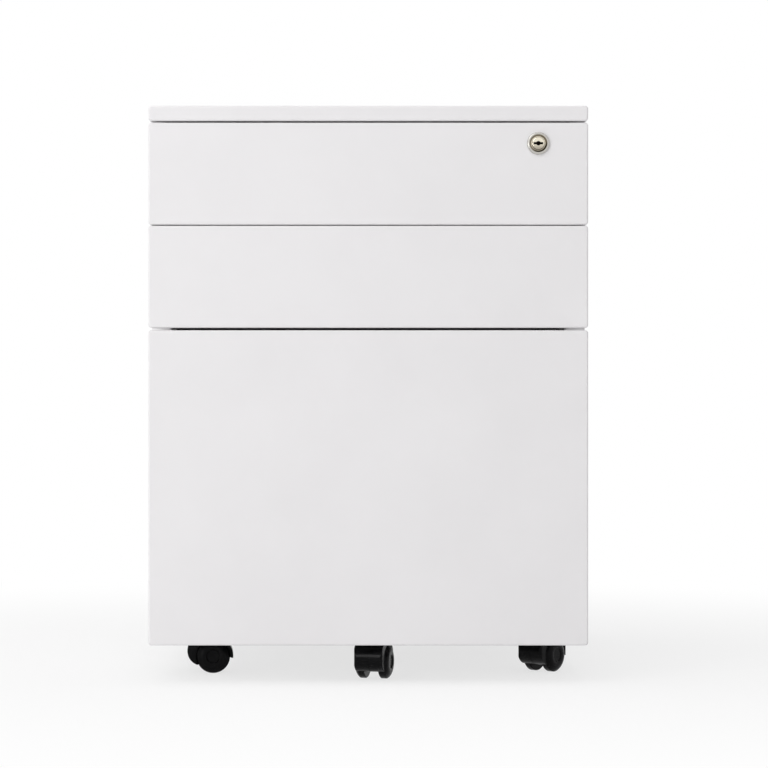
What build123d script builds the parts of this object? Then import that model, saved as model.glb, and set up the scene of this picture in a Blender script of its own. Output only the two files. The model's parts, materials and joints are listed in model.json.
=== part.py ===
from build123d import *
import math
import os

# A mobile filing pedestal in folded sheet steel: two shallow drawers over a file drawer,
# four castors under the cabinet and a fifth under the file drawer against tipping.
# Millimetres, +Z up, drawer fronts facing -Y. The origin lies on the floor under the
# middle of the footprint.

# Sheet steel, its inside bend radius, how much rounder the corners of the pans are, and the
# play between pieces put together by hand
SHEET = 0.8
BEND_INSIDE = 0.8
CORNER_EASE = 1.0
PLAY = 0.3

# How far a cutting shape runs past the face it cuts
OVERCUT = 1.0

# Outside of the cabinet
WIDTH = 390.0
DEPTH = 500.0

# The front from the floor up
FRONT_CLEARANCE = 34.4
FILE_FRONT_HEIGHT = 279.6
FILE_GAP = 2.1
BOX_FRONT_HEIGHT = 90.6
BOX_GAP = 0.8
LID_GAP = 1.5
LID_LIP = 13.5

# Drawer fronts and lid
FRONT_THICKNESS = 18.0
FRONT_LIP = 12.0
LID_RETURN = 14.0
PANEL_INSET = 3.0

# Finger recess down each side, behind the drawer fronts
RECESS = 20.0
RECESS_GAP = 2.0
RECESS_RETURN = 10.0

# Drawer trays
TRAY_REAR_ROOM = 51.0
TRAY_RISE = 6.0
TRAY_HEM = 8.0
BOX_TRAY_HEIGHT = 54.0
FOLDER_ROOM = 19.0
HANGER_HEIGHT = 12.0
HANGER_SHEET = 1.2

# Ball-bearing slides
SLIDE_THICKNESS = 12.7
SLIDE_LENGTH = 400.0
SLIDE_STEEL = 1.2
DRAWER_MEMBER_HEIGHT = 25.0
BALL = 3.2
BALL_PLAY = 0.3
BALL_COUNT = 8
BALL_PITCH = 22.0
CAGE_WIDTH = 5.0
CAGE_THICKNESS = 0.8
MEMBER_TIP_GAP = 2.7
MEMBER_WEB_GAP = 0.8
MEMBER_SETBACK = 4.0
SLIDE_SETBACK = 1.5
BOX_SLIDE_RISE = 19.0
FILE_SLIDE_RISE = 123.0

# Uprights that carry the slides
UPRIGHT_WIDTH = 30.0
UPRIGHT_INSET = 1.5
UPRIGHT_SETBACK = 12.0

# Base
BASE_LIP = 4.0

# Countersunk screws
SCREW = 4.0
SCREW_HEAD = 6.4
SCREW_LENGTH = 7.0
SCREW_SOCKET = 2.4
SCREW_SOCKET_DEPTH = 0.8
SCREW_PLAY = 0.05

# Lock in the top drawer front
LOCK_INSET = 44.3
LOCK_DROP = 18.5
LOCK_PROUD = 2.4
BEZEL = 20.0
BEZEL_ROUND = 1.4
GROOVE = 15.2
GROOVE_DEPTH = 3.0
BARREL = 17.0
BARREL_LENGTH = 24.0
PLUG = 11.4
PLUG_PLAY = 0.05
PLUG_SHY = 0.3
PLUG_ROUND = 1.0
KEYWAY_LENGTH = 8.4
KEYWAY_WIDTH = 2.0
KEYWAY_MIDDLE = 4.0
KEYWAY_DEPTH = 9.0
NUT = 22.0
NUT_THICKNESS = 4.0
CAM = 15.0
CAM_THICKNESS = 2.0
CAM_PIN = 3.5
CAM_PIN_ORBIT = 5.0
LOCK_TURN = 90.0

# Lock bar that holds all three drawers
BAR_THICKNESS = 2.0
BAR_WIDTH = 12.0
BAR_SETBACK = 1.7
BAR_INSET = 2.2
BAR_SLOT_PLAY = 0.4
BAR_OVERRUN = 8.0
ARM_HEIGHT = 12.0
ARM_REACH = 5.0
CATCH_HEIGHT = 5.5
CATCH_OVERLAP = 5.3
STUD = 5.0
STUD_LENGTH = 7.5
STUD_PLAY = 1.0
BOX_STUD_DROP = 7.5
FILE_STUD_DROP = 16.0
GUIDE_THICKNESS = 3.0
GUIDE_RIM = 2.0

# Castors
CASTOR_HEIGHT = 38.0
PLATE_LENGTH = 38.0
PLATE_WIDTH = 28.0
PLATE_THICKNESS = 2.0
PLATE_HOLES_LONG = 29.0
PLATE_HOLES_SHORT = 19.0
KINGPIN = 7.0
KINGPIN_HEAD = 10.0
KINGPIN_END = 12.0
KINGPIN_PLAY = 0.05
WHEEL = 31.0
WHEEL_WIDTH = 9.2
WHEEL_WALL = 1.5
WHEEL_TREAD = 4.6
WHEEL_HUB = 13.0
WHEEL_DISH = 0.9
TRAIL = 12.0
AXLE = 5.0
AXLE_PLAY = 0.05
CORE_WIDTH = 12.2
WHEEL_SIDE_GAP = 0.4
HOOD_WALL = 2.2
HOOD_WHEEL_GAP = 0.8
HOOD_INSET = 2.5
HOOD_NOSE = 11.8
HOOD_NECK = 16.0
HOOD_NECK_GAP = 0.4
HOOD_UNDER = 7.0
HOOD_TAIL_ANGLE = 5.0
HOOD_ROUND = 2.5
HOOD_SEAM = 0.5
HOOD_SEAM_DEPTH = 0.3
CASTOR_INSET = 39.5
CASTOR_FRONT_SETBACK = 110.0
CASTOR_REAR_SETBACK = 62.0
DRAWER_CASTOR_SETBACK = 37.2
DRAWER_CASTOR_SHIFT = 2.5
DRAWER_CASTOR_LIFT = 0.5
BRACKET_STEEL = 1.2
BRACKET_FLANGE = 10.0
BRACKET_MARGIN = 5.0
NOTCH_PLAY = 3.0

# Direction in which each castor trails, degrees from +X towards the rear
HEADINGS = {
    "front_left": 3.0,
    "front_right": 52.0,
    "rear_left": 28.0,
    "rear_right": -20.0,
    "drawer": 75.0,
}

# Levels that follow from the sizes above
BEND = BEND_INSIDE + SHEET
SIDE = WIDTH / 2
FRONT = (LOCK_PROUD - DEPTH) / 2
REAR = FRONT + DEPTH
FRONT_BACK = FRONT + FRONT_THICKNESS
PANEL_BACK = FRONT_BACK + SHEET
NOSE = PANEL_BACK + RECESS_GAP
RETURN_END = NOSE + RECESS_RETURN
OPENING = SIDE - RECESS
SLANT = NOSE - OPENING + 2 * SHEET + 2 * PLAY
SIDE_INNER = SIDE - SHEET
UPRIGHT_FACE = OPENING - UPRIGHT_INSET
TRAY_SIDE = UPRIGHT_FACE - SLIDE_THICKNESS
TRAY_REAR = REAR - TRAY_REAR_ROOM

FILE_TOP = FRONT_CLEARANCE + FILE_FRONT_HEIGHT
MIDDLE_BASE = FILE_TOP + FILE_GAP
MIDDLE_TOP = MIDDLE_BASE + BOX_FRONT_HEIGHT
TOP_BASE = MIDDLE_TOP + BOX_GAP
TOP_TOP = TOP_BASE + BOX_FRONT_HEIGHT
LID_BASE = TOP_TOP + LID_GAP
HEIGHT = LID_BASE + LID_LIP

BASE_TOP = CASTOR_HEIGHT + SHEET
SIDE_BASE = CASTOR_HEIGHT - SHEET
FILE_FLOOR = BASE_TOP + TRAY_RISE
MIDDLE_FLOOR = MIDDLE_BASE + TRAY_RISE
TOP_FLOOR = TOP_BASE + TRAY_RISE
FILE_TRAY_TOP = MIDDLE_FLOOR - FOLDER_ROOM - HANGER_HEIGHT

BAR_FRONT = RETURN_END + BAR_SETBACK
BAR_REAR = BAR_FRONT + BAR_WIDTH
BAR_INNER = OPENING + SHEET + BAR_INSET
BAR_OUTER = BAR_INNER + BAR_THICKNESS
ARM_REAR = BAR_FRONT + BAR_THICKNESS
SLIDE_FRONT = BAR_REAR + SLIDE_SETBACK
SLIDE_REAR = SLIDE_FRONT + SLIDE_LENGTH
MEMBER_FRONT = PANEL_BACK + MEMBER_SETBACK

MEMBER_STEP = SLIDE_STEEL + BALL + 2 * BALL_PLAY
DRAWER_HALF = DRAWER_MEMBER_HEIGHT / 2
MIDDLE_HALF = DRAWER_HALF + MEMBER_STEP
FILE_CABINET_HALF = MIDDLE_HALF + MEMBER_STEP
MEMBER_TIP = TRAY_SIDE + MEMBER_TIP_GAP
MIDDLE_WEB = UPRIGHT_FACE - SLIDE_STEEL - MEMBER_WEB_GAP
DRAWER_TIP = MIDDLE_WEB - SLIDE_STEEL - MEMBER_WEB_GAP
FILE_SLIDE_Z = FILE_FLOOR + FILE_SLIDE_RISE
MIDDLE_SLIDE_Z = MIDDLE_FLOOR + BOX_SLIDE_RISE
TOP_SLIDE_Z = TOP_FLOOR + BOX_SLIDE_RISE

LOCK_X = SIDE - LOCK_INSET
LOCK_Z = TOP_TOP - LOCK_DROP
BARREL_END = FRONT + BARREL_LENGTH
CAM_FRONT = BARREL_END + PLAY
CAM_REAR = CAM_FRONT + CAM_THICKNESS
HALF_TURN = math.radians(LOCK_TURN / 2)
PIN_X = LOCK_X + CAM_PIN_ORBIT * math.cos(HALF_TURN)
PIN_Z = LOCK_Z - CAM_PIN_ORBIT * math.sin(HALF_TURN)
STUD_Y = ARM_REAR + STUD_PLAY + STUD / 2
STUD_LEVELS = {
    "file": FILE_TRAY_TOP - FILE_STUD_DROP,
    "middle": MIDDLE_FLOOR + BOX_TRAY_HEIGHT - BOX_STUD_DROP,
    "top": TOP_FLOOR + BOX_TRAY_HEIGHT - BOX_STUD_DROP,
}
CATCH_DROP = STUD / 2 + STUD_PLAY + CATCH_HEIGHT
BAR_BASE = STUD_LEVELS["file"] - CATCH_DROP - BAR_OVERRUN
BAR_TOP = PIN_Z + ARM_HEIGHT / 2

WHEEL_RADIUS = WHEEL / 2
CORE_HALF = CORE_WIDTH / 2
WHEEL_INNER = CORE_HALF + WHEEL_SIDE_GAP
WHEEL_OUTER = WHEEL_INNER + WHEEL_WIDTH
POCKET_RADIUS = WHEEL_RADIUS + HOOD_WHEEL_GAP
HOOD_RADIUS = POCKET_RADIUS + HOOD_WALL
HOOD_TOP = WHEEL_RADIUS + HOOD_RADIUS
HOOD_HALF = WHEEL_OUTER - HOOD_INSET
PLATE_UNDER = CASTOR_HEIGHT - PLATE_THICKNESS
CASTOR_X = SIDE - CASTOR_INSET
CASTOR_FRONT = FRONT + CASTOR_FRONT_SETBACK
CASTOR_REAR = REAR - CASTOR_REAR_SETBACK
DRAWER_CASTOR_Y = FRONT + DRAWER_CASTOR_SETBACK
CASTORS = {
    "front_left": (-CASTOR_X, CASTOR_FRONT, 0.0),
    "front_right": (CASTOR_X, CASTOR_FRONT, 0.0),
    "rear_left": (-CASTOR_X, CASTOR_REAR, 0.0),
    "rear_right": (CASTOR_X, CASTOR_REAR, 0.0),
    "drawer": (DRAWER_CASTOR_SHIFT, DRAWER_CASTOR_Y, DRAWER_CASTOR_LIFT),
}
BRACKET_UNDER = CASTOR_HEIGHT + DRAWER_CASTOR_LIFT
BRACKET_HALF = PLATE_LENGTH / 2 + BRACKET_MARGIN
BRACKET_REAR = DRAWER_CASTOR_Y + PLATE_WIDTH / 2 + PLAY


def block(x, y, z):
    """A box between two limits along each axis."""
    middle = [(low + high) / 2 for low, high in (x, y, z)]
    size = [high - low for low, high in (x, y, z)]
    return Pos(*middle) * Box(*size)


def rounded(shape, bend):
    """A box with its folds rounded, and rounder at the corners seen from the front."""
    shape = fillet(shape.edges().filter_by(Axis.Y), bend + CORNER_EASE)
    ends = shape.edges().group_by(Axis.Y)
    return fillet(ends[0] + ends[-1], bend)


def hollow(x, y, z):
    """A closed box of folded sheet with every fold rounded."""
    inner = block(*[(low + SHEET, high - SHEET) for low, high in (x, y, z)])
    return rounded(block(x, y, z), BEND) - rounded(inner, BEND_INSIDE)


def rod(x, z, radius, y):
    """A round bar along Y."""
    return Pos(x, sum(y) / 2, z) * Rot(90, 0, 0) * Cylinder(radius, y[1] - y[0])


def both_sides(shape):
    """A right-hand piece with its left-hand twin."""
    return group([shape, mirror(shape, about=Plane.YZ)])


def group(shapes):
    """Separate pieces that share one node."""
    return Compound([solid for shape in shapes for solid in shape.solids()])


def countersunk(play, length):
    """Countersunk screw shape, head face at z = 0, shank towards +Z."""
    head = (SCREW_HEAD - SCREW) / 2
    radius = SCREW_HEAD / 2 + play
    cone = Pos(0, 0, head / 2) * Cone(radius, SCREW / 2 + play, head)
    return cone + Pos(0, 0, length / 2) * Cylinder(SCREW / 2 + play, length)


def screw():
    """One countersunk screw with a hexagon socket."""
    socket = extrude(RegularPolygon(SCREW_SOCKET / 2, 6), amount=SCREW_SOCKET_DEPTH)
    return countersunk(0, SCREW_LENGTH) - socket


def screw_hole():
    """Room for one screw."""
    return countersunk(SCREW_PLAY, SCREW_LENGTH)


def slide_screw_places():
    """Where the screws go through the cabinet members into the right-hand uprights."""
    places = []
    for z in (FILE_SLIDE_Z, MIDDLE_SLIDE_Z, TOP_SLIDE_Z):
        for y in upright_middles():
            places.append(Pos(UPRIGHT_FACE - SLIDE_STEEL, y, z) * Rot(0, 90, 0))
    return places


def plate_screw_places(x, y, lift):
    """Where the screws go up through one castor plate."""
    places = []
    for dx in (-PLATE_HOLES_LONG / 2, PLATE_HOLES_LONG / 2):
        for dy in (-PLATE_HOLES_SHORT / 2, PLATE_HOLES_SHORT / 2):
            places.append(Pos(x + dx, y + dy, PLATE_UNDER + lift))
    return places


def drill(shape, places):
    """A piece with a screw hole at each place."""
    return shape - [place * screw_hole() for place in places]


def upright_middles():
    """Depth of the front and the rear upright."""
    step = UPRIGHT_SETBACK + UPRIGHT_WIDTH / 2
    return (SLIDE_FRONT + step, SLIDE_REAR - step)


def lid():
    """Top panel: a shallow upside-down pan with returns along its underside."""
    shell = hollow((-SIDE, SIDE), (FRONT, REAR), (LID_BASE, HEIGHT))
    across = SIDE - LID_RETURN
    along = (FRONT + LID_RETURN, REAR - LID_RETURN)
    return shell - block((-across, across), along, (LID_BASE - SHEET, LID_BASE + 2 * SHEET))


def side_panel():
    """Right side: web, slanted recess wall with a return, and flanges all round."""
    corners = [(OPENING, NOSE), (SIDE, NOSE + RECESS), (SIDE, REAR), (OPENING, REAR)]
    outline = make_face(Polyline(*corners, close=True))
    folds = outline.vertices().sort_by_distance((OPENING, REAR))[1:]
    outline = fillet(folds, BEND)
    core = offset(outline, amount=-SHEET)
    outer = extrude(Pos(0, 0, SIDE_BASE) * outline, amount=LID_BASE - SIDE_BASE, dir=(0, 0, 1))
    tall = LID_BASE - SIDE_BASE - 2 * SHEET
    inner = extrude(Pos(0, 0, SIDE_BASE + SHEET) * core, amount=tall, dir=(0, 0, 1))
    mouth = block(
        (OPENING - SHEET, OPENING + 2 * SHEET),
        (RETURN_END, REAR - SHEET),
        (SIDE_BASE + SHEET, LID_BASE - SHEET),
    )
    return outer - inner - mouth


def back_panel():
    """Flat sheet behind the rear flanges of the sides."""
    half = SIDE - BEND - PLAY
    levels = (BASE_TOP + PLAY, LID_BASE - SHEET - PLAY)
    return block((-half, half), (REAR - 2 * SHEET, REAR - SHEET), levels)


def base_pan():
    """Bottom sheet on the side flanges, notched for the fifth castor's bracket."""
    half = SIDE_INNER - PLAY
    front = RETURN_END + PLAY
    rear = REAR - 2 * SHEET - PLAY
    nose = front - SLANT
    right = [(nose, front), (half, half + SLANT), (half, rear)]
    left = [(-x, y) for x, y in reversed(right)]
    outline = make_face(Polyline(*right, *left, close=True))
    pan = extrude(Pos(0, 0, CASTOR_HEIGHT) * outline, amount=SHEET, dir=(0, 0, 1))
    lip = (CASTOR_HEIGHT, BASE_TOP + BASE_LIP)
    pan += block((-nose, nose), (front, front + SHEET), lip)
    pan += block((-half, half), (rear - SHEET, rear), lip)
    half = BRACKET_HALF + BRACKET_FLANGE + NOTCH_PLAY
    notch = (DRAWER_CASTOR_SHIFT - half, DRAWER_CASTOR_SHIFT + half)
    pan -= block(notch, (front - OVERCUT, BRACKET_REAR + NOTCH_PLAY), (0, HEIGHT))
    places = []
    for name, (x, y, lift) in CASTORS.items():
        if name != "drawer":
            places += plate_screw_places(x, y, lift)
    return drill(pan, places)


def uprights():
    """Four channels that carry the slides, open towards the side panels."""
    pieces = []
    levels = (BASE_TOP, LID_BASE - SHEET - PLAY)
    for middle in upright_middles():
        y = (middle - UPRIGHT_WIDTH / 2, middle + UPRIGHT_WIDTH / 2)
        body = block((UPRIGHT_FACE, SIDE_INNER), y, levels)
        inside = (y[0] + SHEET, y[1] - SHEET)
        body -= block((UPRIGHT_FACE + SHEET, SIDE), inside, (0, HEIGHT))
        pieces.append(drill(body, slide_screw_places()))
    return group([both_sides(piece) for piece in pieces])


def member(web, tip, half, z, y):
    """One right-hand slide member: a channel from its web to its open side."""
    wall = web + math.copysign(SLIDE_STEEL, tip - web)
    whole = block(sorted((web, tip)), y, (z - half, z + half))
    room = half - SLIDE_STEEL
    far = tip + math.copysign(SLIDE_STEEL, tip - web)
    return whole - block(sorted((wall, far)), (y[0] - OVERCUT, y[1] + OVERCUT), (z - room, z + room))


def cabinet_members(half, z):
    """The pair of slide members on the uprights."""
    channel = member(UPRIGHT_FACE, MEMBER_TIP, half, z, (SLIDE_FRONT, SLIDE_REAR))
    return both_sides(drill(channel, slide_screw_places()))


def middle_members():
    """The pair that runs between the cabinet and the file drawer."""
    return both_sides(
        member(MIDDLE_WEB, MEMBER_TIP, MIDDLE_HALF, FILE_SLIDE_Z, (SLIDE_FRONT, SLIDE_REAR))
    )


def drawer_members(z):
    """The pair of slide members on a tray."""
    y = (MEMBER_FRONT, MEMBER_FRONT + SLIDE_LENGTH)
    return both_sides(member(TRAY_SIDE, DRAWER_TIP, DRAWER_HALF, z, y))


def ball_cages(half, z, front):
    """Strips of balls above and below the inner one of two nested slide members."""
    x = (MEMBER_TIP + DRAWER_TIP) / 2
    length = BALL_COUNT * BALL_PITCH
    pieces = []
    for way in (-1, 1):
        level = z + way * (half + BALL_PLAY + BALL / 2)
        strip = Pos(x, front + length / 2, level) * Box(CAGE_WIDTH, length, CAGE_THICKNESS)
        for number in range(BALL_COUNT):
            strip += Pos(x, front + (number + 0.5) * BALL_PITCH, level) * Sphere(BALL / 2)
        pieces.append(both_sides(strip))
    return group(pieces)


def drawer_front(base, top):
    """Outer drawer front: a folded pan with returns along its back."""
    shell = hollow((-SIDE, SIDE), (FRONT, FRONT_BACK), (base, top))
    across = SIDE - FRONT_LIP
    depth = (FRONT_BACK - 2 * SHEET, FRONT_BACK + SHEET)
    return shell - block((-across, across), depth, (base + FRONT_LIP, top - FRONT_LIP))


def top_front():
    """The top drawer front with the hole for the lock."""
    hole = rod(LOCK_X, LOCK_Z, BARREL / 2 + PLUG_PLAY, (FRONT - SHEET, FRONT_BACK + SHEET))
    return drawer_front(TOP_BASE, TOP_TOP) - hole


def tray(base, top, floor, brim):
    """Inner front panel with the drawer tub welded to it."""
    across = SIDE - PANEL_INSET
    panel = block((-across, across), (FRONT_BACK, PANEL_BACK), (base + PANEL_INSET, top - PANEL_INSET))
    outer = block((-TRAY_SIDE, TRAY_SIDE), (PANEL_BACK, TRAY_REAR), (floor, brim))
    rim = outer.edges().group_by(Axis.Z)[-1] + outer.edges().group_by(Axis.Y)[0]
    outer = fillet([edge for edge in outer.edges() if edge not in rim], BEND)
    half = TRAY_SIDE - SHEET
    depth = (PANEL_BACK - OVERCUT, TRAY_REAR - SHEET)
    inner = block((-half, half), depth, (floor + SHEET, brim + OVERCUT))
    rim = inner.edges().group_by(Axis.Z)[-1] + inner.edges().group_by(Axis.Y)[0]
    inner = fillet([edge for edge in inner.edges() if edge not in rim], BEND_INSIDE)
    level = (brim - SHEET, brim)
    hem = block((-half, half), (PANEL_BACK, TRAY_REAR - SHEET), level)
    clear = TRAY_SIDE - TRAY_HEM
    hem -= block((-clear, clear), (PANEL_BACK - OVERCUT, TRAY_REAR - TRAY_HEM), (0, HEIGHT))
    return (outer - inner) + hem + panel


def top_tray():
    """The top tray with room for the lock barrel in its panel."""
    hole = rod(LOCK_X, LOCK_Z, BARREL / 2 + PLAY, (FRONT_BACK - SHEET, PANEL_BACK + SHEET))
    return tray(TOP_BASE, TOP_TOP, TOP_FLOOR, TOP_FLOOR + BOX_TRAY_HEIGHT) - hole


def striker(level):
    """Stud on the right-hand side of a tray that the lock bar holds."""
    x = (TRAY_SIDE, TRAY_SIDE + STUD_LENGTH)
    return Pos(sum(x) / 2, STUD_Y, level) * Rot(0, 90, 0) * Cylinder(STUD / 2, STUD_LENGTH)


def hangers():
    """Angle rails on the file tray for hanging folders."""
    y = (PANEL_BACK, TRAY_REAR - TRAY_HEM)
    inner = TRAY_SIDE - TRAY_HEM
    foot = block((inner, TRAY_SIDE), y, (FILE_TRAY_TOP, FILE_TRAY_TOP + HANGER_SHEET))
    edge = block(
        (inner, inner + HANGER_SHEET), y, (FILE_TRAY_TOP, FILE_TRAY_TOP + HANGER_HEIGHT)
    )
    return both_sides(foot + edge)


def lock_barrel():
    """Lock housing with its bezel, open for the plug."""
    bezel = rod(LOCK_X, LOCK_Z, BEZEL / 2, (FRONT - LOCK_PROUD, FRONT))
    bezel = fillet(bezel.edges().sort_by(Axis.Y)[0], BEZEL_ROUND)
    body = bezel + rod(LOCK_X, LOCK_Z, BARREL / 2, (FRONT, BARREL_END))
    face = FRONT - LOCK_PROUD
    bore = (face - OVERCUT, BARREL_END + OVERCUT)
    body -= rod(LOCK_X, LOCK_Z, PLUG / 2 + PLUG_PLAY, bore)
    groove = (face - OVERCUT, face + GROOVE_DEPTH)
    return body - rod(LOCK_X, LOCK_Z, GROOVE / 2, groove)


def lock_nut():
    """Nut behind the front skin that clamps the barrel."""
    hexagon = extrude(RegularPolygon(NUT / 2, 6, major_radius=False), amount=NUT_THICKNESS)
    nut = Pos(LOCK_X, FRONT + SHEET + NUT_THICKNESS, LOCK_Z) * Rot(90, 0, 0) * hexagon
    return nut - rod(LOCK_X, LOCK_Z, BARREL / 2 + PLUG_PLAY, (FRONT, FRONT_BACK))


def lock_plug():
    """Turning plug with a level keyway."""
    face = FRONT - LOCK_PROUD + PLUG_SHY
    plug = rod(LOCK_X, LOCK_Z, PLUG / 2, (face, CAM_FRONT))
    plug = fillet(plug.edges().sort_by(Axis.Y)[0], PLUG_ROUND)
    reach = (face - OVERCUT, face + KEYWAY_DEPTH)
    half = KEYWAY_LENGTH / 2
    tall = KEYWAY_WIDTH / 2
    slot = block((LOCK_X - half, LOCK_X + half), reach, (LOCK_Z - tall, LOCK_Z + tall))
    return plug - slot - rod(LOCK_X, LOCK_Z, KEYWAY_MIDDLE / 2, reach)


def lock_cam():
    """Disc behind the plug with the pin that lifts the lock bar."""
    disc = rod(LOCK_X, LOCK_Z, CAM / 2, (CAM_FRONT, CAM_REAR))
    return disc + rod(PIN_X, PIN_Z, CAM_PIN / 2, (CAM_FRONT, ARM_REAR + PLAY))


def lock_bar():
    """Flat bar behind the right-hand recess."""
    return block((BAR_INNER, BAR_OUTER), (BAR_FRONT, BAR_REAR), (BAR_BASE, BAR_TOP))


def lock_arm():
    """Arm from the bar to the cam pin, slotted for the pin."""
    half = ARM_HEIGHT / 2
    near = LOCK_X - ARM_REACH
    plate = block((near, BAR_INNER), (BAR_FRONT, ARM_REAR), (PIN_Z - half, PIN_Z + half))
    room = CAM_PIN / 2 + BAR_SLOT_PLAY
    slot = (PIN_X - room, LOCK_X + CAM_PIN_ORBIT + room)
    return plate - block(slot, (BAR_FRONT - OVERCUT, ARM_REAR + OVERCUT), (PIN_Z - room, PIN_Z + room))


def lock_arms():
    """The slotted arm, and three catches that rise in front of the tray studs."""
    tip = TRAY_SIDE + STUD_LENGTH - CATCH_OVERLAP
    pieces = [lock_arm()]
    for level in STUD_LEVELS.values():
        low = level - CATCH_DROP
        pieces.append(block((tip, BAR_INNER), (BAR_FRONT, ARM_REAR), (low, low + CATCH_HEIGHT)))
    return group(pieces)


def bar_guides():
    """Two plates on the right side that the bar slides through."""
    levels = [
        (STUD_LEVELS["file"] + STUD_LEVELS["middle"]) / 2,
        (STUD_LEVELS["middle"] + STUD_LEVELS["top"]) / 2,
    ]
    near = BAR_INNER - GUIDE_RIM
    front = BAR_FRONT - GUIDE_RIM
    rear = BAR_REAR + GUIDE_RIM
    corners = [
        (near, front),
        (front - SLANT, front),
        (SIDE_INNER, SIDE_INNER + SLANT),
        (SIDE_INNER, rear),
        (near, rear),
    ]
    plate = extrude(make_face(Polyline(*corners, close=True)), amount=GUIDE_THICKNESS, dir=(0, 0, 1))
    plate -= block(
        (BAR_INNER - PLAY, BAR_OUTER + PLAY),
        (BAR_FRONT - PLAY, BAR_REAR + PLAY),
        (-OVERCUT, GUIDE_THICKNESS + OVERCUT),
    )
    return group([Pos(0, 0, level) * plate for level in levels])


def kingpin(play):
    """Swivel pin about the Z axis, its countersunk head level with the plate."""
    head = (KINGPIN_HEAD - KINGPIN) / 2
    radius = KINGPIN / 2 + play
    length = CASTOR_HEIGHT - KINGPIN_END
    pin = Pos(0, 0, KINGPIN_END + length / 2) * Cylinder(radius, length)
    return pin + Pos(0, 0, CASTOR_HEIGHT - head / 2) * Cone(radius, KINGPIN_HEAD / 2 + play, head)


def castor_plate(x, y, lift):
    """Fixing plate with a countersunk hole for the kingpin."""
    size = (PLATE_LENGTH, PLATE_WIDTH, PLATE_THICKNESS)
    plate = Pos(x, y, PLATE_UNDER + PLATE_THICKNESS / 2 + lift) * Box(*size)
    plate -= Pos(x, y, lift) * kingpin(KINGPIN_PLAY)
    return drill(plate, plate_screw_places(x, y, lift))


def hood_outline():
    """Side view of a castor hood, trail towards +X, height along Y."""
    tail = math.radians(-HOOD_TAIL_ANGLE)
    tail_outer = (
        TRAIL + HOOD_RADIUS * math.cos(tail),
        WHEEL_RADIUS + HOOD_RADIUS * math.sin(tail),
    )
    tail_inner = (
        TRAIL + POCKET_RADIUS * math.cos(tail),
        WHEEL_RADIUS + POCKET_RADIUS * math.sin(tail),
    )
    top = (TRAIL, HOOD_TOP)
    high = TRAIL + HOOD_RADIUS * math.cos(math.pi / 4)
    shoulder = (high, WHEEL_RADIUS + HOOD_RADIUS * math.sin(math.pi / 4))
    brow = (0.0, HOOD_TOP)
    snout = (-HOOD_NOSE, (HOOD_TOP + HOOD_UNDER) / 2)
    jaw = (0.0, HOOD_UNDER)
    lines = [
        ThreePointArc(tail_outer, shoulder, top),
        Line(top, brow),
        ThreePointArc(brow, snout, jaw),
        Line(jaw, (TRAIL, HOOD_UNDER)),
        Line((TRAIL, HOOD_UNDER), tail_inner),
        Line(tail_inner, tail_outer),
    ]
    return make_face(lines)


def castor_hood():
    """Swivelling hood: a round nose and cap over both treads, and a core between the wheels."""
    outline = hood_outline()
    length = HOOD_NOSE + TRAIL + HOOD_RADIUS
    above = Pos(length / 2 - HOOD_NOSE, 0) * RectangleRounded(length, 2 * HOOD_HALF, HOOD_ROUND)
    ahead = Plane.YZ * RectangleRounded(2 * HOOD_HALF, 2 * HOOD_TOP, HOOD_ROUND)
    full = extrude(Plane.XZ * outline, amount=HOOD_HALF, both=True)
    full &= extrude(above, amount=HOOD_TOP, dir=(0, 0, 1))
    full &= extrude(ahead, amount=length, both=True)
    seam = outline - offset(outline, amount=-HOOD_SEAM_DEPTH)
    full -= extrude(Plane.XZ * seam, amount=HOOD_SEAM / 2, both=True)
    for way in (-1, 1):
        room = (HOOD_HALF + OVERCUT - CORE_HALF) / 2
        middle = way * (CORE_HALF + room)
        full -= Pos(TRAIL, middle, WHEEL_RADIUS) * Rot(90, 0, 0) * Cylinder(POCKET_RADIUS, 2 * room)
    neck = PLATE_UNDER - HOOD_NECK_GAP
    root = HOOD_TOP - HOOD_WALL
    full += Pos(0, 0, (root + neck) / 2) * Cylinder(HOOD_NECK / 2, neck - root)
    bore = KINGPIN_END - HOOD_NECK_GAP
    full -= Pos(0, 0, (bore + HEIGHT) / 2) * Cylinder(KINGPIN / 2 + KINGPIN_PLAY, HEIGHT - bore)
    return full - rod(TRAIL, WHEEL_RADIUS, AXLE / 2 + AXLE_PLAY, (-WHEEL_OUTER, WHEEL_OUTER))


def castor_axle():
    """Steel pin through the core that both wheels turn on."""
    half = WHEEL_OUTER - 2 * WHEEL_DISH - WHEEL_WALL
    return rod(TRAIL, WHEEL_RADIUS, AXLE / 2, (-half, half))


def castor_wheel(way):
    """One wheel: flat tread, domed outer side with a dished hub, blind bore."""
    bore = AXLE / 2 + AXLE_PLAY
    blind = WHEEL_OUTER - 2 * WHEEL_DISH - WHEEL_WALL + AXLE_PLAY
    tread = WHEEL_INNER + WHEEL_DISH + WHEEL_TREAD
    hub = WHEEL_HUB / 2
    bulge = math.sin(math.pi / 4)
    dome = (tread + (WHEEL_OUTER - tread) * bulge, hub + (WHEEL_RADIUS - hub) * bulge)
    dish = WHEEL_OUTER - WHEEL_DISH
    lines = [
        Polyline(
            (blind, bore),
            (WHEEL_INNER, bore),
            (WHEEL_INNER, WHEEL_RADIUS - WHEEL_DISH),
            (WHEEL_INNER + WHEEL_DISH, WHEEL_RADIUS),
            (tread, WHEEL_RADIUS),
        ),
        ThreePointArc((tread, WHEEL_RADIUS), dome, (WHEEL_OUTER, hub)),
        Polyline((WHEEL_OUTER, hub), (dish, hub - WHEEL_DISH), (dish, 0), (blind, 0), (blind, bore)),
    ]
    wheel = revolve(make_face(lines), axis=Axis.X)
    return Pos(TRAIL, 0, WHEEL_RADIUS) * Rot(0, 0, 90 * way) * wheel


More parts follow.
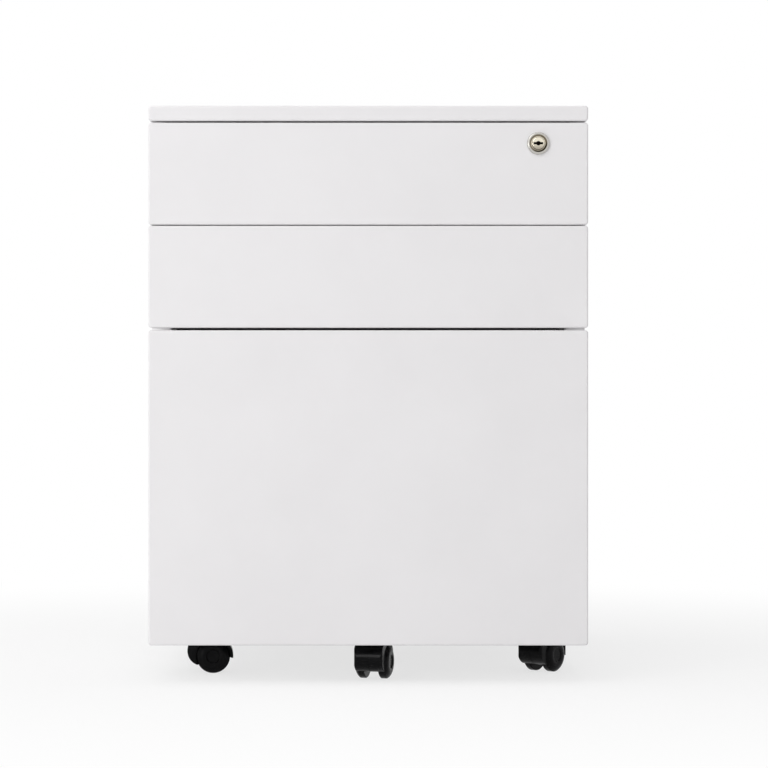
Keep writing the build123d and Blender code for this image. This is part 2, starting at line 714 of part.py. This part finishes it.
def castor_bracket():
    """Hat-shaped bracket under the file tray for the fifth castor."""
    y = (PANEL_BACK + PLAY, BRACKET_REAR)
    floor = BRACKET_UNDER + BRACKET_STEEL
    outer = block((-BRACKET_HALF, BRACKET_HALF), y, (BRACKET_UNDER, FILE_FLOOR))
    inner = BRACKET_HALF - BRACKET_STEEL
    hat = outer - block((-inner, inner), (y[0] - OVERCUT, y[1] + OVERCUT), (floor, HEIGHT))
    brim = BRACKET_HALF + BRACKET_FLANGE
    for x in ((-brim, -inner), (inner, brim)):
        hat += block(x, y, (FILE_FLOOR - BRACKET_STEEL, FILE_FLOOR))
    return drill(Pos(DRAWER_CASTOR_SHIFT, 0, 0) * hat, plate_screw_places(*CASTORS["drawer"]))


def carcass_screws():
    """Screws of the slides and of the four cabinet castors."""
    pieces = [both_sides(place * screw()) for place in slide_screw_places()]
    for name, spot in CASTORS.items():
        if name != "drawer":
            pieces += [place * screw() for place in plate_screw_places(*spot)]
    return group(pieces)


def nodes():
    """Every named piece of the pedestal."""
    right = side_panel()
    cabinet = {name: spot for name, spot in CASTORS.items() if name != "drawer"}
    parts = {
        "top_panel": lid(),
        "left_side_panel": mirror(right, about=Plane.YZ),
        "right_side_panel": right,
        "back_panel": back_panel(),
        "base_pan": base_pan(),
        "slide_uprights": uprights(),
        "lock_bar_guides": bar_guides(),
        "castor_plates": group([castor_plate(*spot) for spot in cabinet.values()]),
        "castor_kingpins": group([Pos(*spot) * kingpin(0) for spot in cabinet.values()]),
        "carcass_screws": carcass_screws(),
        "box_slide_cabinet_members": group(
            [cabinet_members(MIDDLE_HALF, z) for z in (MIDDLE_SLIDE_Z, TOP_SLIDE_Z)]
        ),
        "file_slide_cabinet_members": cabinet_members(FILE_CABINET_HALF, FILE_SLIDE_Z),
        "file_slide_middle_members": middle_members(),
        "lock_bar": lock_bar(),
        "lock_bar_arms": lock_arms(),
        "top_drawer_front": top_front(),
        "top_drawer_tray": top_tray(),
        "top_slide_drawer_members": drawer_members(TOP_SLIDE_Z),
        "top_drawer_striker": striker(STUD_LEVELS["top"]),
        "lock_barrel": lock_barrel(),
        "lock_nut": lock_nut(),
        "lock_plug": lock_plug(),
        "lock_cam": lock_cam(),
        "middle_drawer_front": drawer_front(MIDDLE_BASE, MIDDLE_TOP),
        "middle_drawer_tray": tray(
            MIDDLE_BASE, MIDDLE_TOP, MIDDLE_FLOOR, MIDDLE_FLOOR + BOX_TRAY_HEIGHT
        ),
        "middle_slide_drawer_members": drawer_members(MIDDLE_SLIDE_Z),
        "middle_drawer_striker": striker(STUD_LEVELS["middle"]),
        "file_drawer_front": drawer_front(FRONT_CLEARANCE, FILE_TOP),
        "file_drawer_tray": tray(FRONT_CLEARANCE, FILE_TOP, FILE_FLOOR, FILE_TRAY_TOP),
        "file_slide_drawer_members": drawer_members(FILE_SLIDE_Z),
        "file_drawer_striker": striker(STUD_LEVELS["file"]),
        "hanging_rails": hangers(),
        "drawer_castor_bracket": castor_bracket(),
        "drawer_castor_plate": castor_plate(*CASTORS["drawer"]),
        "drawer_castor_kingpin": Pos(*CASTORS["drawer"]) * kingpin(0),
        "drawer_castor_screws": group(
            [place * screw() for place in plate_screw_places(*CASTORS["drawer"])]
        ),
        "top_ball_cages": ball_cages(DRAWER_HALF, TOP_SLIDE_Z, SLIDE_FRONT),
        "middle_ball_cages": ball_cages(DRAWER_HALF, MIDDLE_SLIDE_Z, SLIDE_FRONT),
        "file_inner_ball_cages": ball_cages(DRAWER_HALF, FILE_SLIDE_Z, SLIDE_FRONT),
        "file_outer_ball_cages": ball_cages(MIDDLE_HALF, FILE_SLIDE_Z, SLIDE_FRONT),
    }
    hood = castor_hood()
    axle = castor_axle()
    wheels = {"left": castor_wheel(1), "right": castor_wheel(-1)}
    for name, (x, y, lift) in CASTORS.items():
        place = Pos(x, y, lift) * Rot(0, 0, HEADINGS[name])
        parts[name + "_castor_hood"] = place * hood
        parts[name + "_castor_axle"] = place * axle
        for hand, wheel in wheels.items():
            parts[name + "_castor_" + hand + "_wheel"] = place * wheel
    return parts


def main():
    os.makedirs("parts", exist_ok=True)
    for name, shape in nodes().items():
        export_step(shape, os.path.join("parts", name + ".step"))


if __name__ == "__main__":
    main()
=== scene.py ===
"""Looks of a white sheet-steel filing pedestal on castors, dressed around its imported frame.

Metres, +Z up, drawer fronts facing -Y. The construction comes from the frame; this script gives
every surface its finish and sets the floor, the light and the camera.
"""

import json
import math

import bpy
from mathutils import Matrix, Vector


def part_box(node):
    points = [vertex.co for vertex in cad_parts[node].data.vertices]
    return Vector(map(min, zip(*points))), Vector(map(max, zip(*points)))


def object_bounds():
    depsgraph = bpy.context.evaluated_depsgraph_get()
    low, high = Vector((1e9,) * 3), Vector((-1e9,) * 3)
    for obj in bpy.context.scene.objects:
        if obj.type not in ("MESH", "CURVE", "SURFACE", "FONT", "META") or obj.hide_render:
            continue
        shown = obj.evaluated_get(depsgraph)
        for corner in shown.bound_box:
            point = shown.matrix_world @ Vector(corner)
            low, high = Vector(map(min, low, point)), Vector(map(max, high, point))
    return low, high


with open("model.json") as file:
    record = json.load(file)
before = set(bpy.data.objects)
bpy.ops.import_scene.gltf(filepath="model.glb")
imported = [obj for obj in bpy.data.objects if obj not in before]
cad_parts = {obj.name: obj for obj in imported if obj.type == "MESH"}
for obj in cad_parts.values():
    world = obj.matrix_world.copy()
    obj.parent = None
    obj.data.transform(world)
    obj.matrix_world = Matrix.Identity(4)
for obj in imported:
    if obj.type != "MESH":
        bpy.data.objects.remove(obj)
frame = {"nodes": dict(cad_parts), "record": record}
cad_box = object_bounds()
NODES = frame["nodes"]

# Camera: straight in front, its horizon across the middle of the picture
CAMERA_DISTANCE = 2.5
CAMERA_HEIGHT = 0.2663
CAMERA_SIGHT = 100.0
SENSOR = 36.0
PICTURE = 768
PIXELS_PER_SLOPE = 2820.0
OBJECT_PIXEL = 368.3

# Finishes by slot of the record. A noise, given as its waves per metre along x, y and z and its
# detail, runs each of the tones, the roughness and the relief (a height in metres) between its ends.
FINISHES = {
    # Cool white powder coat with a fine orange-peel skin
    "white_powder_coat": {
        "name": "powder_coat",
        "fixed": {},
        "tones": ((0.800, 0.787, 0.797), (0.822, 0.809, 0.819)),
        "mottling": ((14, 14, 14), 3.0),
        "roughness": (0.48, 0.53),
        "gloss": ((55, 55, 55), 2.0),
        "relief": 0.000012,
        "grain": ((700, 700, 700), 2.0),
    },
    # Bright zinc on rolled steel, streaked along the length of the slides
    "zinc_plated_steel": {
        "name": "zinc_plate",
        "fixed": {"Metallic": 1.0},
        "tones": ((0.52, 0.53, 0.53), (0.68, 0.68, 0.65)),
        "mottling": ((260, 9, 260), 4.0),
        "roughness": (0.24, 0.42),
        "gloss": ((900, 25, 900), 3.0),
        "relief": 0.000006,
        "grain": ((1500, 40, 1500), 2.0),
    },
    # Polished nickel with faint handling marks
    "lock_nickel": {
        "name": "nickel_plate",
        "fixed": {"Metallic": 1.0},
        "tones": ((0.70, 0.69, 0.67), (0.78, 0.77, 0.75)),
        "mottling": ((300, 300, 300), 3.0),
        "roughness": (0.13, 0.24),
        "gloss": ((900, 900, 900), 3.0),
        "relief": 0.000002,
        "grain": ((2600, 2600, 2600), 2.0),
    },
    # Semi-gloss black nylon with a fine mould grain and a little dust
    "black_nylon": {
        "name": "black_nylon",
        "fixed": {"Specular IOR Level": 0.07},
        "tones": ((0.0030, 0.0030, 0.0034), (0.0056, 0.0056, 0.0062)),
        "mottling": ((160, 160, 160), 4.0),
        "roughness": (0.20, 0.28),
        "gloss": ((420, 420, 420), 3.0),
        "relief": 0.0000015,
        "grain": ((1800, 1800, 1800), 2.0),
    },
}
NOISE_MIDDLE = (0.3, 0.7)

# Lock face: its surface, how far the keyway and the painted shade in the groove reach from the axis,
# the depths over which the keyway is painted dark as shade, the heights over which the plug is painted
# darker towards its bottom as shade, and the side towards which the painted groove shade deepens
LOCK_PIECES = ("lock_barrel", "lock_plug")
LOCK_SURFACE = {
    "roughness": (0.15, 0.27),
    "gloss": ((900, 900, 900), 3.0),
    "relief": 0.000002,
    "grain": ((2600, 2600, 2600), 2.0),
}
KEYWAY_REACH = 0.0048
# The keyway's near-black tone is painted shade inside the slot
KEYWAY_SHADE_DEPTHS = (0.0004, 0.0014)
KEYWAY_PAINTED_SHADE = (0.006, 0.005, 0.004)
EDGE_FADE = 0.0002
PLUG_TONE = (0.84, 0.78, 0.64)
# The plug's darker tone towards its bottom is painted shade
PLUG_PAINTED_SHADE = (0.40, 0.36, 0.29)
PLUG_SHADE_HEIGHTS = (-0.0055, 0.0015)
BEZEL_TONE = (0.52, 0.505, 0.475)
# The groove's dark tones are painted shade, deeper towards one side
GROOVE_SHADE_RADII = (0.0062, 0.0078)
GROOVE_PAINTED_SHADES = ((0.230, 0.195, 0.140), (0.040, 0.032, 0.016))
GROOVE_SHADE_SIDE = (0.5, 0.0, -0.87)
GROOVE_SHADE_REACH = (0.001, 0.0055)

# Floor: its share of plain white near the object, and the distances over which that becomes all
WHITE = (1.0, 1.0, 1.0, 1.0)
FLOOR_HALF = 8.0
FLOOR_TONE = (0.90, 0.90, 0.90, 1.0)
FLOOR_ROUGHNESS = 0.85
FLOOR_FADE = (0.30, 1.10)
FLOOR_WHITE = 0.71

# Light: the surroundings with their lean to one side, and lamps by place, size and power
WORLD_STRENGTH = 0.60
WORLD_LEAN = (-0.20, 0.0, 0.0)
LAMPS = (
    ("key", (-0.9, -1.6, 1.7), (1.2, 1.2), 11.5),
    ("fill", (-1.3, -2.48, 0.45), (0.3, 0.7), 9.5),
    ("top", (0.0, 0.0, 2.4), (1.2, 1.2), 6.0),
)

# Sockets of the map range node, and the colour sockets of the mix node
RANGE_SOCKETS = ("From Min", "From Max", "To Min", "To Max")
MIX_COLOURS = (6, 7)
MIX_RESULT = 2

# Both ways a value can run between two limits
RISING = (0.0, 1.0)
FALLING = (1.0, 0.0)


def make(tree, kind, attributes=None, **inputs):
    """Adds one shader node, with its settings and the values of its input sockets."""
    made = tree.nodes.new("ShaderNode" + kind)
    for name, value in (attributes or {}).items():
        setattr(made, name, value)
    for name, value in inputs.items():
        made.inputs[name.replace("_", " ")].default_value = value
    return made


def join(tree, source, output, target, socket):
    """Links an output socket of one node to an input socket of another."""
    tree.links.new(source.outputs[output], target.inputs[socket])


def new_material(name):
    """An empty node material with its main shader."""
    material = bpy.data.materials.new(name)
    material.use_nodes = True
    tree = material.node_tree
    return material, tree, tree.nodes["Principled BSDF"]


def noise(tree, waves, detail):
    """Cloudy noise that sticks to the object, in waves per metre along each axis."""
    place = make(tree, "TexCoord")
    mapping = make(tree, "Mapping", Scale=waves)
    join(tree, place, "Object", mapping, "Vector")
    cloud = make(tree, "TexNoise", Scale=1.0, Detail=detail)
    join(tree, mapping, "Vector", cloud, "Vector")
    return cloud


def between(tree, source, output, limits, ends, run="SMOOTHSTEP"):
    """Runs a value from one end to the other between two limits."""
    ranged = make(tree, "MapRange", {"interpolation_type": run})
    for name, value in zip(RANGE_SOCKETS, (*limits, *ends)):
        ranged.inputs[name].default_value = value
    join(tree, source, output, ranged, "Value")
    return ranged


def vector_math(tree, operation, source, output, operand):
    """Applies a vector operation with a fixed operand."""
    made = make(tree, "VectorMath", {"operation": operation})
    made.inputs[1].default_value = operand
    join(tree, source, output, made, 0)
    return made


def multiply(tree, first, second):
    """The product of two values."""
    product = make(tree, "Math", {"operation": "MULTIPLY"})
    join(tree, first, 0, product, 0)
    join(tree, second, 0, product, 1)
    return product


def mottle(tree, source, tones, shader):
    """Colours the shader between two tones by a noise."""
    ramp = make(tree, "ValToRGB")
    for element, position, tone in zip(ramp.color_ramp.elements, NOISE_MIDDLE, tones):
        element.position = position
        element.color = (*tone, 1.0)
    join(tree, source, "Fac", ramp, "Fac")
    join(tree, ramp, "Color", shader, "Base Color")


def surface(tree, shader, roughness, gloss, relief, grain):
    """Varies the roughness by one noise and raises a fine relief by another."""
    rough = between(tree, noise(tree, *gloss), "Fac", NOISE_MIDDLE, roughness, "LINEAR")
    join(tree, rough, "Result", shader, "Roughness")
    bump = make(tree, "Bump", Strength=1.0, Distance=relief)
    join(tree, noise(tree, *grain), "Fac", bump, "Height")
    join(tree, bump, "Normal", shader, "Normal")


def finish(name, fixed, tones, mottling, **feel):
    """A material of mottled tone with fixed values, a roughness and a relief."""
    material, tree, shader = new_material(name)
    for socket, value in fixed.items():
        shader.inputs[socket].default_value = value
    mottle(tree, noise(tree, *mottling), tones, shader)
    surface(tree, shader, **feel)
    return material


def blend_tones(tree, share, *tones):
    """Mixes two colours, each fixed or taken from another mix."""
    mix = make(tree, "Mix", {"data_type": "RGBA"})
    join(tree, share, 0, mix, "Factor")
    for socket, tone in zip(MIX_COLOURS, tones):
        if isinstance(tone, tuple):
            mix.inputs[socket].default_value = (*tone, 1.0)
        else:
            join(tree, tone, MIX_RESULT, mix, socket)
    return mix


def lock_face():
    """Nickel of the lock's face: a warm plug painted darker towards its bottom as shade, a dull bezel,
    painted shade in the groove and a keyway painted black as shade.
    """
    material, tree, shader = new_material("lock_face")
    shader.inputs["Metallic"].default_value = 1.0
    low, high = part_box("lock_plug")
    axis = (low + high) / 2
    place = make(tree, "TexCoord")
    away = vector_math(tree, "SUBTRACT", place, "Object", (axis.x, low.y, axis.z))
    flat = vector_math(tree, "MULTIPLY", away, "Vector", (1.0, 0.0, 1.0))
    radius = make(tree, "VectorMath", {"operation": "LENGTH"})
    join(tree, flat, "Vector", radius, "Vector")
    along = make(tree, "SeparateXYZ")
    join(tree, away, "Vector", along, "Vector")
    reach, start, end = [(edge, edge + EDGE_FADE) for edge in (KEYWAY_REACH, *GROOVE_SHADE_RADII)]
    # Painted shade: the keyway slot is coloured near black below the face
    central = between(tree, radius, "Value", reach, FALLING)
    sunk = between(tree, along, "Y", KEYWAY_SHADE_DEPTHS, RISING)
    outer = between(tree, radius, "Value", start, RISING)
    inner = between(tree, radius, "Value", end, FALLING)
    # Painted shade: the plug darkens towards its bottom
    plug_shade_share = between(tree, along, "Z", PLUG_SHADE_HEIGHTS, FALLING)
    plug = blend_tones(tree, plug_shade_share, PLUG_TONE, PLUG_PAINTED_SHADE)
    face = blend_tones(tree, outer, plug, BEZEL_TONE)
    keyway_shaded = blend_tones(tree, multiply(tree, central, sunk), face, KEYWAY_PAINTED_SHADE)
    # Painted shade in the groove, darker towards one side
    towards = vector_math(tree, "DOT_PRODUCT", away, "Vector", GROOVE_SHADE_SIDE)
    groove_shade_share = between(tree, towards, "Value", GROOVE_SHADE_REACH, RISING)
    groove_shade = blend_tones(tree, groove_shade_share, *GROOVE_PAINTED_SHADES)
    tone = blend_tones(tree, multiply(tree, outer, inner), keyway_shaded, groove_shade)
    join(tree, tone, MIX_RESULT, shader, "Base Color")
    surface(tree, shader, **LOCK_SURFACE)
    return material


def looked_at(tree):
    """One for rays that look straight at a surface, see it in a mirror or through glass, else zero."""
    seen = make(tree, "LightPath")
    first = make(tree, "Math", {"operation": "MAXIMUM"})
    join(tree, seen, "Is Camera Ray", first, 0)
    join(tree, seen, "Is Glossy Ray", first, 1)
    second = make(tree, "Math", {"operation": "MAXIMUM"})
    join(tree, first, "Value", second, 0)
    join(tree, seen, "Is Transmission Ray", second, 1)
    return second


def floor_white():
    """White floor that keeps the shadow close to the object and fades to pure white."""
    material, tree, shader = new_material("floor_white")
    shader.inputs["Base Color"].default_value = FLOOR_TONE
    shader.inputs["Roughness"].default_value = FLOOR_ROUGHNESS
    glow = make(tree, "Emission", Color=WHITE, Strength=1.0)
    place = make(tree, "TexCoord")
    away = make(tree, "VectorMath", {"operation": "LENGTH"})
    join(tree, place, "Object", away, "Vector")
    fade = between(tree, away, "Value", FLOOR_FADE, (FLOOR_WHITE, 1.0))
    share = multiply(tree, looked_at(tree), fade)
    mix = make(tree, "MixShader")
    join(tree, share, "Value", mix, "Fac")
    join(tree, shader, "BSDF", mix, 1)
    join(tree, glow, "Emission", mix, 2)
    join(tree, mix, "Shader", tree.nodes["Material Output"], "Surface")
    return material


def dress_nodes():
    """Gives every carried-over node the finish of its slot, and the lock its own face."""
    finishes = {slot: finish(**look) for slot, look in FINISHES.items()}
    for part in frame["record"]["subparts"]:
        node = NODES[part["node"]]
        node.data.materials.clear()
        node.data.materials.append(finishes[part["material_slot"]])
    face = lock_face()
    for name in LOCK_PIECES:
        NODES[name].data.materials[0] = face


def add_floor():
    """A large plain floor under the object."""
    mesh = bpy.data.meshes.new("floor")
    signs = ((-1, -1), (1, -1), (1, 1), (-1, 1))
    corners = [(x * FLOOR_HALF, y * FLOOR_HALF, 0.0) for x, y in signs]
    mesh.from_pydata(corners, [], [range(len(corners))])
    floor = bpy.data.objects.new("floor", mesh)
    bpy.context.scene.collection.objects.link(floor)
    mesh.materials.append(floor_white())


def add_lamp(name, place, target, size, power):
    """A soft lamp of some width and height, aimed at a point."""
    data = bpy.data.lights.new(name, "AREA")
    data.shape = "RECTANGLE"
    data.size, data.size_y = size
    data.energy = power
    lamp = bpy.data.objects.new(name, data)
    lamp.location = place
    aim = Vector(target) - Vector(place)
    lamp.rotation_euler = aim.to_track_quat("-Z", "Y").to_euler()
    bpy.context.scene.collection.objects.link(lamp)


def add_world():
    """White surroundings, a little brighter on the left, seen as pure white."""
    world = bpy.data.worlds.new("studio")
    bpy.context.scene.world = world
    world.use_nodes = True
    tree = world.node_tree
    light = tree.nodes["Background"]
    light.inputs["Color"].default_value = WHITE
    place = make(tree, "TexCoord")
    lean = vector_math(tree, "DOT_PRODUCT", place, "Generated", WORLD_LEAN)
    level = make(tree, "Math", {"operation": "ADD"})
    level.inputs[1].default_value = WORLD_STRENGTH
    join(tree, lean, "Value", level, 0)
    strength = make(tree, "MapRange")
    join(tree, level, "Value", strength, "To Min")
    strength.inputs["To Max"].default_value = 1.0
    join(tree, looked_at(tree), "Value", strength, "Value")
    join(tree, strength, "Result", light, "Strength")


def add_camera():
    """The photograph's straight front view."""
    data = bpy.data.cameras.new("camera")
    data.sensor_width = SENSOR
    data.lens = SENSOR * PIXELS_PER_SLOPE / PICTURE
    data.shift_x = (PICTURE / 2 - OBJECT_PIXEL) / PICTURE
    data.clip_end = CAMERA_SIGHT
    camera = bpy.data.objects.new("camera", data)
    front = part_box("file_drawer_front")[0].y
    camera.location = (0.0, front - CAMERA_DISTANCE, CAMERA_HEIGHT)
    camera.rotation_euler = (math.pi / 2, 0.0, 0.0)
    bpy.context.scene.collection.objects.link(camera)
    bpy.context.scene.camera = camera


dress_nodes()
add_floor()
add_world()
middle = (cad_box[0] + cad_box[1]) / 2
for name, place, size, power in LAMPS:
    add_lamp(name, place, middle, size, power)
add_camera()
bpy.context.scene.view_settings.view_transform = "Standard"
